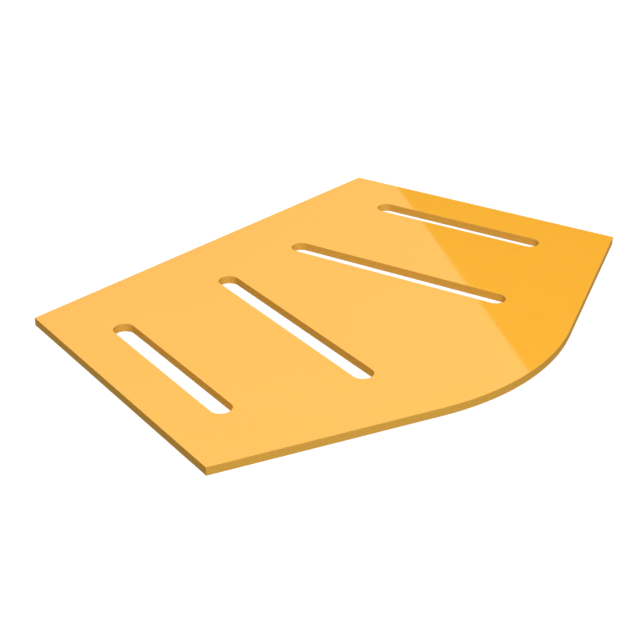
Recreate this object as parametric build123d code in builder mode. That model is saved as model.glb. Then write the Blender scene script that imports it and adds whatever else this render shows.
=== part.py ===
"""Wear plate: a flat steel plate with flared sides, a rounded nose and four slanted weld slots.

X runs along the back edge and Y from the nose to the back edge. The underside lies on Z = 0,
and the origin is under the middle of the plate's outer box. Sizes are in millimetres.
"""
import os
from math import atan, cos, degrees, radians, sin, tan

from build123d import *

# Outline of the plate
THICKNESS = 16
BACK_EDGE = 900
FRONT_WIDTH = 1143
SIDE_DEPTH = 588
NOSE_SWEEP = radians(22.5)
NOSE_RADIUS = 480

# Weld slots, two outer and two inner, each one parallel to the side edge that it is nearest to.
# A slot's length is measured over its half-round ends, and its setback to the centre of its back
# end. The pitch is the distance between the centrelines of the outer and the inner slot.
SLOT_WIDTH = 40
OUTER_SLOT_LENGTH = 370
INNER_SLOT_LENGTH = 470
SLOT_SETBACK = 154
OUTER_SLOT_FROM_SIDE = 113
SLOT_PITCH = 259

# Burrs ground off every cut edge
EDGE_BREAK = 0.5

# The front edges sweep forward from the front corners and would meet at the nose's apex.
# The nose arc is tangent to both of them, so its lowest point falls short of the apex.
SIDE_FLARE = atan((FRONT_WIDTH - BACK_EDGE) / 2 / SIDE_DEPTH)
APEX_DEPTH = SIDE_DEPTH + FRONT_WIDTH / 2 * tan(NOSE_SWEEP)
NOSE_SETBACK = NOSE_RADIUS / cos(NOSE_SWEEP) - NOSE_RADIUS
PLATE_DEPTH = APEX_DEPTH - NOSE_SETBACK

BACK_Y = PLATE_DEPTH / 2
BACK_CORNER = (BACK_EDGE / 2, BACK_Y)
FRONT_CORNER = (FRONT_WIDTH / 2, BACK_Y - SIDE_DEPTH)
NOSE_APEX = (0, BACK_Y - APEX_DEPTH)


def slot_middle(from_side, length):
    """Middle of the right-hand slot whose centreline runs this far from the side edge.

    The centreline is parallel to the side edge. The centre of its back end lies SLOT_SETBACK
    in from the back edge, and the middle lies half the distance between end centres beyond.
    """
    back_end_x = BACK_EDGE / 2 + SLOT_SETBACK * tan(SIDE_FLARE) - from_side / cos(SIDE_FLARE)
    half_run = (length - SLOT_WIDTH) / 2
    middle_x = back_end_x + half_run * sin(SIDE_FLARE)
    middle_y = BACK_Y - SLOT_SETBACK - half_run * cos(SIDE_FLARE)
    return middle_x, middle_y


# The back edge, the two flared sides and the two swept front edges, with the nose rounded
with BuildSketch() as outline:
    with BuildLine():
        Polyline((0, BACK_Y), BACK_CORNER, FRONT_CORNER, NOSE_APEX)
        mirror(about=Plane.YZ)
    make_face()
    nose = outline.vertices().sort_by(Axis.Y)[0]
    fillet(nose, NOSE_RADIUS)

# The right-hand pair of weld slots, mirrored to the left
with BuildSketch() as weld_slots:
    with Locations(slot_middle(OUTER_SLOT_FROM_SIDE, OUTER_SLOT_LENGTH)):
        SlotOverall(OUTER_SLOT_LENGTH, SLOT_WIDTH, rotation=degrees(SIDE_FLARE) - 90)
    with Locations(slot_middle(OUTER_SLOT_FROM_SIDE + SLOT_PITCH, INNER_SLOT_LENGTH)):
        SlotOverall(INNER_SLOT_LENGTH, SLOT_WIDTH, rotation=degrees(SIDE_FLARE) - 90)
    mirror(about=Plane.YZ)

with BuildPart() as wear_plate:
    extrude(outline.sketch, amount=THICKNESS)
    extrude(weld_slots.sketch, amount=THICKNESS, mode=Mode.SUBTRACT)
    flat_faces = wear_plate.faces().filter_by(Axis.Z)
    fillet(flat_faces.edges(), EDGE_BREAK)

os.makedirs("parts", exist_ok=True)
wear_plate.part.label = "wear_plate"
export_step(wear_plate.part, "parts/wear_plate.step")
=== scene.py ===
"""Studio scene of the wear plate: glossy yellow paint on a flat steel plate that lies on a pale floor.

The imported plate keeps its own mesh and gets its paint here. The floor, the three soft lamps and the
card that the gloss mirrors only stage it. Everything is in metres, in the plate's own frame.
"""

from math import cos, pi, radians, sin

import bpy
import numpy as np
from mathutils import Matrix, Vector


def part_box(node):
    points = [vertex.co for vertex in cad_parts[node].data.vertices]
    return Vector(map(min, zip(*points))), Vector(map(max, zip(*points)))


# The photograph's frame and the camera that took it
PHOTO_PIXELS = 640
LENS_MM = 83.33
SENSOR_MM = 36
CAMERA_AIM = Vector((-0.0991, 0.0013, 0.016))
CAMERA_DISTANCE = 2.720
CAMERA_AZIMUTH = radians(-47.14)
CAMERA_ELEVATION = radians(28.44)

# Soft lamps, and the sky's own plain level. A lamp's level is how bright it makes a white sheet
# that is turned square to it.
LAMP_DISTANCE = 14.0
LAMP_SIZE = 4.8
KEY_AZIMUTH = radians(-32)
KEY_ELEVATION = radians(50)
KEY_LEVEL = 0.845
FILL_AZIMUTH = radians(120)
FILL_ELEVATION = radians(22)
FILL_LEVEL = 0.845
BACK_AZIMUTH = radians(180)
BACK_ELEVATION = radians(22)
BACK_LEVEL = 0.335
SKY_LEVEL = 0.08

WHITE = (1.0, 1.0, 1.0, 1.0)

# The floor is pale to the eye, and throws only a little light back on the plate
FLOOR_HALF_SIZE = 5
FLOOR_GAP = 0.0001
FLOOR_GREY = 0.35
FLOOR_GREY_TO_LIGHT = 0.12
FLOOR_GLOW = 0.78

# Pixels of the photograph where the edge of the pale reflection crosses the wear face
GLARE_EDGE_FAR = (400.6, 191.3)
GLARE_EDGE_NEAR = (528.5, 370.7)

# The card that the gloss mirrors stands this far behind the origin, square to the camera's heading.
# Left of the slanted edge it glows with a slope of its own in each direction, right of it it is black.
# Its picture fills the plain part given in metres across and up, and fades to white round that.
CARD_DISTANCE = 2.5
CARD_GLOW = (0.36, 0.36, 0.285)
CARD_GLOW_PER_METRE_UP = (0.443, 0.443, 0.419)
CARD_GLOW_PER_METRE_ACROSS = (0.188, 0.188, 0.037)
CARD_GLOW_LEAST = (0.62, 0.62, 0.62)
CARD_ACROSS = (-1.2, 1.25)
CARD_UP = (0.8, 2.15)
CARD_FADE = 0.5

# Paint on the flat faces: soft clouds of colour and sheen, and the faint dimples of sprayed paint
FACE_LIGHT = (0.962, 0.462, 0.041, 1.0)
FACE_DEEP = (0.946, 0.446, 0.037, 1.0)
CLOUDS_PER_METRE = 6
FACE_ROUGHNESS = (0.030, 0.042)
DIMPLES_PER_METRE = 240
DIMPLE_DEPTH = 0.000004

# Paint on the cut walls: a little paler, which is painted sheen in place of the walls' gloss, and dull over
# the upright marks that the cutting left
WALL_LIGHT_WITH_SHEEN = (0.945, 0.525, 0.088, 1.0)
WALL_DEEP_WITH_SHEEN = (0.910, 0.483, 0.072, 1.0)
CUT_MARKS_PER_METRE = 520
CUT_MARK_RUN = 22
CUT_MARK_DEPTH = 0.00005
WALL_ROUGHNESS = (0.85, 1.0)


def direction(azimuth, elevation):
    """Unit vector from the plate outwards. Azimuth 0 points past the nose and turns towards +X."""
    return Vector((sin(azimuth) * cos(elevation), -cos(azimuth) * cos(elevation), sin(elevation)))


def look(obj, place, away):
    """Puts a camera or lamp at a place, looking along the vector opposite to away."""
    obj.location = place
    obj.rotation_mode = "QUATERNION"
    obj.rotation_quaternion = (-away).to_track_quat("-Z", "Y")


def make_camera():
    lens = bpy.data.cameras.new("camera")
    lens.lens = LENS_MM
    lens.sensor_width = SENSOR_MM
    camera = bpy.data.objects.new("camera", lens)
    bpy.context.scene.collection.objects.link(camera)
    away = direction(CAMERA_AZIMUTH, CAMERA_ELEVATION)
    look(camera, CAMERA_AIM + away * CAMERA_DISTANCE, away)
    bpy.context.scene.camera = camera
    return camera


def node(tree, kind, **values):
    """A new shader node of this kind, with each named property set."""
    made = tree.nodes.new(kind)
    for name, value in values.items():
        setattr(made, name, value)
    return made


def new_material(name):
    material = bpy.data.materials.new(name)
    material.use_nodes = True
    material.node_tree.nodes.clear()
    return material, material.node_tree


def seen_rays(tree):
    """1 for the rays that show a background: camera, glossy and transmission rays. 0 for the light's own."""
    path = node(tree, "ShaderNodeLightPath")
    straight = node(tree, "ShaderNodeMath", operation="MAXIMUM")
    tree.links.new(path.outputs["Is Camera Ray"], straight.inputs[0])
    tree.links.new(path.outputs["Is Glossy Ray"], straight.inputs[1])
    seen = node(tree, "ShaderNodeMath", operation="MAXIMUM")
    tree.links.new(straight.outputs[0], seen.inputs[0])
    tree.links.new(path.outputs["Is Transmission Ray"], seen.inputs[1])
    return seen.outputs[0]


def make_world():
    """White where it is seen or mirrored, and a plain low level where it lights the plate."""
    world = bpy.data.worlds.new("studio")
    bpy.context.scene.world = world
    world.use_nodes = True
    tree = world.node_tree
    tree.nodes.clear()
    level = node(tree, "ShaderNodeMapRange")
    level.inputs["To Min"].default_value = SKY_LEVEL
    level.inputs["To Max"].default_value = 1.0
    tree.links.new(seen_rays(tree), level.inputs["Value"])
    sky = node(tree, "ShaderNodeBackground")
    sky.inputs["Color"].default_value = WHITE
    tree.links.new(level.outputs["Result"], sky.inputs["Strength"])
    out = node(tree, "ShaderNodeOutputWorld")
    tree.links.new(sky.outputs[0], out.inputs["Surface"])


def make_lamp(name, azimuth, elevation, level):
    """A round soft lamp that gloss doesn't mirror.

    A white sheet square to it gives back its power over the square of pi times the distance.
    """
    lamp = bpy.data.lights.new(name, "AREA")
    lamp.shape = "DISK"
    lamp.size = LAMP_SIZE
    lamp.energy = level * (pi * LAMP_DISTANCE) ** 2
    holder = bpy.data.objects.new(name, lamp)
    bpy.context.scene.collection.objects.link(holder)
    away = direction(azimuth, elevation)
    look(holder, away * LAMP_DISTANCE, away)
    holder.visible_glossy = False


def make_sheet(name, corner, side, rise, material):
    """A flat sheet of the studio, which isn't part of the plate.

    Each vertex is the corner plus u times the side plus v times the rise, for u and v of 0 and 1.
    """
    u, v = np.meshgrid((0.0, 1.0), (0.0, 1.0))
    places = np.array(corner) + u.reshape(-1, 1) * np.array(side) + v.reshape(-1, 1) * np.array(rise)
    mesh = bpy.data.meshes.new(name)
    mesh.from_pydata(places.tolist(), [], [(0, 1, 3, 2)])
    mesh.materials.append(material)
    sheet = bpy.data.objects.new(name, mesh)
    bpy.context.scene.collection.objects.link(sheet)
    return sheet


def floor_material():
    """Diffuse grey, with a glow for seen rays that lifts the lit floor to white and keeps shadows."""
    material, tree = new_material("studio_floor")
    seen = seen_rays(tree)
    tone = node(tree, "ShaderNodeMapRange")
    tone.inputs["To Min"].default_value = FLOOR_GREY_TO_LIGHT
    tone.inputs["To Max"].default_value = FLOOR_GREY
    tree.links.new(seen, tone.inputs["Value"])
    grey = node(tree, "ShaderNodeBsdfDiffuse")
    tree.links.new(tone.outputs["Result"], grey.inputs["Color"])
    level = node(tree, "ShaderNodeMath", operation="MULTIPLY")
    level.inputs[1].default_value = FLOOR_GLOW
    tree.links.new(seen, level.inputs[0])
    glow = node(tree, "ShaderNodeEmission")
    tree.links.new(level.outputs[0], glow.inputs["Strength"])
    both = node(tree, "ShaderNodeAddShader")
    tree.links.new(grey.outputs[0], both.inputs[0])
    tree.links.new(glow.outputs[0], both.inputs[1])
    out = node(tree, "ShaderNodeOutputMaterial")
    tree.links.new(both.outputs[0], out.inputs["Surface"])
    return material


def make_floor():
    corner = (-FLOOR_HALF_SIZE, -FLOOR_HALF_SIZE, -FLOOR_GAP)
    whole = 2 * FLOOR_HALF_SIZE
    make_sheet("floor", corner, (whole, 0, 0), (0, whole, 0), floor_material())


def view_ray(camera, pixel):
    """Where the camera looks through a pixel of the photograph, as a vector."""
    focal_pixels = LENS_MM / SENSOR_MM * PHOTO_PIXELS
    across = (pixel[0] - PHOTO_PIXELS / 2) / focal_pixels
    down = (pixel[1] - PHOTO_PIXELS / 2) / focal_pixels
    return camera.rotation_quaternion @ Vector((across, -down, -1.0))


def mirrored_place(camera, pixel):
    """Place on the card's upright plane that the wear face mirrors to the camera at this pixel.

    The view ray meets the wear face, its vertical part turns round, and the mirrored ray goes on to
    the plane that stands square to the camera's heading, CARD_DISTANCE behind the plate's origin.
    """
    ray = view_ray(camera, pixel)
    face_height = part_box("wear_plate")[1].z
    touch = camera.location + ray * ((face_height - camera.location.z) / ray.z)
    mirrored = Vector((ray.x, ray.y, -ray.z))
    heading = direction(CAMERA_AZIMUTH, 0) * -1
    return touch + mirrored * ((CARD_DISTANCE - touch.dot(heading)) / mirrored.dot(heading))


def along(tree, place, way, offset=0.0):
    """Metres of a place along a vector, less an offset."""
    metres = node(tree, "ShaderNodeVectorMath", operation="DOT_PRODUCT")
    metres.inputs[1].default_value = way
    tree.links.new(place, metres.inputs[0])
    less = node(tree, "ShaderNodeMath", operation="SUBTRACT")
    less.inputs[1].default_value = offset
    tree.links.new(metres.outputs["Value"], less.inputs[0])
    return less.outputs[0]


def vector_step(tree, operation, first, second):
    """Vector maths between one node's output and a fixed vector."""
    step = node(tree, "ShaderNodeVectorMath", operation=operation)
    tree.links.new(first, step.inputs[0])
    if isinstance(second, tuple):
        step.inputs[1].default_value = second
    else:
        tree.links.new(second, step.inputs[1])
    return step.outputs["Vector"]


def inside(tree, metres, low, high):
    """1 from low to high, and smoothly down to 0 over CARD_FADE on both sides."""
    middle, half = (low + high) / 2, (high - low) / 2
    off = node(tree, "ShaderNodeMath", operation="SUBTRACT")
    off.inputs[1].default_value = middle
    tree.links.new(metres, off.inputs[0])
    far = node(tree, "ShaderNodeMath", operation="ABSOLUTE")
    tree.links.new(off.outputs[0], far.inputs[0])
    fade = node(tree, "ShaderNodeMapRange", interpolation_type="SMOOTHSTEP")
    for name, value in (("From Min", half), ("From Max", half + CARD_FADE), ("To Min", 1.0), ("To Max", 0.0)):
        fade.inputs[name].default_value = value
    tree.links.new(far.outputs[0], fade.inputs["Value"])
    return fade.outputs["Result"]


def card_material(across, edge_foot, edge_head):
    """The card's picture, worked out from the place on it.

    Glow is a base colour plus one colour per metre up and one per metre across, never below the
    least glow. Past the slanted edge it is black. White takes over outside the plain part.
    """
    material, tree = new_material("reflection_card")
    place = node(tree, "ShaderNodeTexCoord").outputs["Object"]
    upward = Vector((0, 0, 1))
    rise = along(tree, place, upward)
    shift = along(tree, place, across)
    glow = vector_step(tree, "MULTIPLY", rise, CARD_GLOW_PER_METRE_UP)
    glow = vector_step(tree, "ADD", glow, vector_step(tree, "MULTIPLY", shift, CARD_GLOW_PER_METRE_ACROSS))
    glow = vector_step(tree, "ADD", glow, CARD_GLOW)
    glow = vector_step(tree, "MAXIMUM", glow, CARD_GLOW_LEAST)

    edge = edge_head - edge_foot
    past = across * edge.dot(upward) - upward * edge.dot(across)
    left = node(tree, "ShaderNodeMath", operation="LESS_THAN")
    left.inputs[1].default_value = 0.0
    tree.links.new(along(tree, place, past, past.dot(edge_foot)), left.inputs[0])
    glow = vector_step(tree, "MULTIPLY", glow, left.outputs[0])

    plain = node(tree, "ShaderNodeMath", operation="MULTIPLY")
    tree.links.new(inside(tree, shift, *CARD_ACROSS), plain.inputs[0])
    tree.links.new(inside(tree, rise, *CARD_UP), plain.inputs[1])
    picture = blend_colour(tree, plain.outputs[0], WHITE, glow)
    light = node(tree, "ShaderNodeEmission")
    tree.links.new(picture, light.inputs["Color"])
    out = node(tree, "ShaderNodeOutputMaterial")
    tree.links.new(light.outputs[0], out.inputs["Surface"])
    return material


def make_card(camera):
    """The card that the wear face mirrors to the camera. Only gloss sees it.

    Its slanted edge runs through the two places that the face mirrors at the glare edge's pixels.
    """
    heading = direction(CAMERA_AZIMUTH, 0) * -1
    upward = Vector((0, 0, 1))
    across = heading.cross(upward)
    left, right = CARD_ACROSS[0] - CARD_FADE, CARD_ACROSS[1] + CARD_FADE
    low, high = CARD_UP[0] - CARD_FADE, CARD_UP[1] + CARD_FADE
    corner = heading * CARD_DISTANCE + across * left + upward * low
    far = mirrored_place(camera, GLARE_EDGE_FAR)
    near = mirrored_place(camera, GLARE_EDGE_NEAR)
    paint = card_material(across, far, near)
    card = make_sheet("reflection_card", corner, across * (right - left), upward * (high - low), paint)
    card.visible_camera = False
    card.visible_diffuse = False
    card.visible_transmission = False
    card.visible_shadow = False


def noise(tree, place, per_metre, detail):
    """Noise between 0 and 1 with this many cells per metre along X, Y and Z."""
    stretch = node(tree, "ShaderNodeMapping")
    stretch.inputs["Scale"].default_value = per_metre
    tree.links.new(place, stretch.inputs["Vector"])
    cells = node(tree, "ShaderNodeTexNoise")
    cells.inputs["Scale"].default_value = 1.0
    cells.inputs["Detail"].default_value = detail
    tree.links.new(stretch.outputs["Vector"], cells.inputs["Vector"])
    return cells.outputs["Fac"]


def blend_colour(tree, factor, deep, light):
    """A colour that runs from deep to light. Each end is a fixed colour or another node's output."""
    mix = node(tree, "ShaderNodeMix", data_type="RGBA")
    tree.links.new(factor, mix.inputs["Factor"])
    for name, end in (("A", deep), ("B", light)):
        socket = next(i for i in mix.inputs if i.name == name and i.type == "RGBA")
        if isinstance(end, tuple):
            socket.default_value = end
        else:
            tree.links.new(end, socket)
    return next(o for o in mix.outputs if o.type == "RGBA")


def scaled(tree, factor, low, high):
    """A number that runs evenly from low to high. Each end is fixed or another node's output."""
    line = node(tree, "ShaderNodeMapRange")
    tree.links.new(factor, line.inputs["Value"])
    for name, end in (("To Min", low), ("To Max", high)):
        if isinstance(end, float):
            line.inputs[name].default_value = end
        else:
            tree.links.new(end, line.inputs[name])
    return line.outputs["Result"]


def paint_material():
    """Yellow gloss paint, smooth and glossy on the flat faces, dull and marked on the cut walls.

    The upright part of the surface's normal, 1 on the flat faces and 0 on the walls, blends the two.
    """
    material, tree = new_material("yellow_gloss_paint")
    where = node(tree, "ShaderNodeTexCoord")
    facing = node(tree, "ShaderNodeSeparateXYZ")
    tree.links.new(where.outputs["Normal"], facing.inputs[0])
    upright = node(tree, "ShaderNodeMath", operation="ABSOLUTE")
    tree.links.new(facing.outputs["Z"], upright.inputs[0])
    flat = upright.outputs[0]

    place = where.outputs["Object"]
    clouds = noise(tree, place, (CLOUDS_PER_METRE,) * 3, 3)
    dimples = noise(tree, place, (DIMPLES_PER_METRE,) * 3, 1)
    marks = noise(tree, place, (CUT_MARKS_PER_METRE, CUT_MARKS_PER_METRE, CUT_MARK_RUN), 2)

    face_colour = blend_colour(tree, clouds, FACE_DEEP, FACE_LIGHT)
    # The walls' colour is paler than the faces'. That paleness is a painted sheen in place of their gloss.
    wall_colour_with_sheen = blend_colour(tree, marks, WALL_DEEP_WITH_SHEEN, WALL_LIGHT_WITH_SHEEN)
    colour = blend_colour(tree, flat, wall_colour_with_sheen, face_colour)
    face_roughness = scaled(tree, clouds, *FACE_ROUGHNESS)
    wall_roughness = scaled(tree, marks, *WALL_ROUGHNESS)
    roughness = scaled(tree, flat, wall_roughness, face_roughness)
    face_height = scaled(tree, dimples, 0.0, DIMPLE_DEPTH)
    wall_height = scaled(tree, marks, 0.0, CUT_MARK_DEPTH)
    height = scaled(tree, flat, wall_height, face_height)
    bump = node(tree, "ShaderNodeBump")
    bump.inputs["Distance"].default_value = 1.0
    tree.links.new(height, bump.inputs["Height"])

    paint = node(tree, "ShaderNodeBsdfPrincipled")
    tree.links.new(colour, paint.inputs["Base Color"])
    tree.links.new(roughness, paint.inputs["Roughness"])
    tree.links.new(bump.outputs["Normal"], paint.inputs["Normal"])
    out = node(tree, "ShaderNodeOutputMaterial")
    tree.links.new(paint.outputs[0], out.inputs["Surface"])
    return material


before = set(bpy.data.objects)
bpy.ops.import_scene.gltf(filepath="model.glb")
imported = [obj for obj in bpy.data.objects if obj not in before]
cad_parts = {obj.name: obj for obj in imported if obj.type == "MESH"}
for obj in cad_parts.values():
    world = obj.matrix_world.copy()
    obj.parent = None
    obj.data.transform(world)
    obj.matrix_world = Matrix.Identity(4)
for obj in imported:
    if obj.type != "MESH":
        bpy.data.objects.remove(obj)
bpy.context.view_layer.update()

bpy.context.scene.view_settings.view_transform = "Standard"
camera = make_camera()
make_world()
make_lamp("key_lamp", KEY_AZIMUTH, KEY_ELEVATION, KEY_LEVEL)
make_lamp("fill_lamp", FILL_AZIMUTH, FILL_ELEVATION, FILL_LEVEL)
make_lamp("back_lamp", BACK_AZIMUTH, BACK_ELEVATION, BACK_LEVEL)
make_floor()
make_card(camera)

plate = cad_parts["wear_plate"]
plate.material_slots[0].material = paint_material()
